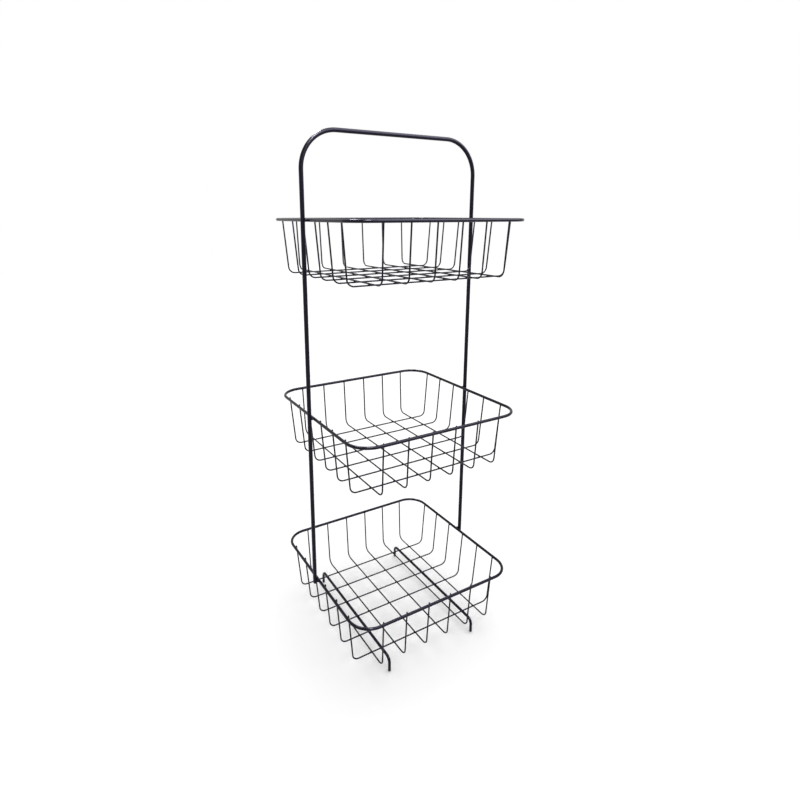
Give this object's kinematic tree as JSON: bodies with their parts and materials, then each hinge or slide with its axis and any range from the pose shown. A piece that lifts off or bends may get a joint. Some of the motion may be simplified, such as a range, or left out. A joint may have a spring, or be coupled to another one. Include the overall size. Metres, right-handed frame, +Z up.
{
  "type": "tiered wire basket rack",
  "caption": "Tall open wire storage rack: square mesh baskets in tiers, welded to a bent rod that forms the uprights and the carrying handle, on bent wire legs.",
  "frame": {"origin": "on the floor that the rack stands on, in the middle between the four feet and between the uprights", "axes": "+Z up; +X along the handle, from the left upright to the right one; -Y is the front, and both legs run along Y"},
  "size_m": [0.261, 0.25, 0.69],
  "materials": {
    "black_paint": "smooth glossy black paint with a faint violet cast, on steel wire"
  },
  "bodies": {
    "root": {"handle_frame": "black_paint", "bottom_rim": "black_paint", "middle_rim": "black_paint", "top_rim": "black_paint", "bottom_rim_welds": "black_paint", "middle_rim_welds": "black_paint", "top_rim_welds": "black_paint", "bottom_cross_wire_1": "black_paint", "bottom_cross_wire_2": "black_paint", "bottom_cross_wire_3": "black_paint", "bottom_cross_wire_4": "black_paint", "bottom_cross_wire_5": "black_paint", "bottom_cross_wire_6": "black_paint", "middle_cross_wire_1": "black_paint", "middle_cross_wire_2": "black_paint", "middle_cross_wire_3": "black_paint", "middle_cross_wire_4": "black_paint", "middle_cross_wire_5": "black_paint", "middle_cross_wire_6": "black_paint", "top_cross_wire_1": "black_paint", "top_cross_wire_2": "black_paint", "top_cross_wire_3": "black_paint", "top_cross_wire_4": "black_paint", "top_cross_wire_5": "black_paint", "top_cross_wire_6": "black_paint", "bottom_long_wire_1": "black_paint", "bottom_long_wire_2": "black_paint", "bottom_long_wire_3": "black_paint", "bottom_long_wire_4": "black_paint", "bottom_long_wire_5": "black_paint", "bottom_long_wire_6": "black_paint", "middle_long_wire_1": "black_paint", "middle_long_wire_2": "black_paint", "middle_long_wire_3": "black_paint", "middle_long_wire_4": "black_paint", "middle_long_wire_5": "black_paint", "middle_long_wire_6": "black_paint", "top_long_wire_1": "black_paint", "top_long_wire_2": "black_paint", "top_long_wire_3": "black_paint", "top_long_wire_4": "black_paint", "top_long_wire_5": "black_paint", "top_long_wire_6": "black_paint", "left_leg": "black_paint", "right_leg": "black_paint"}
  },
  "joints": []
}
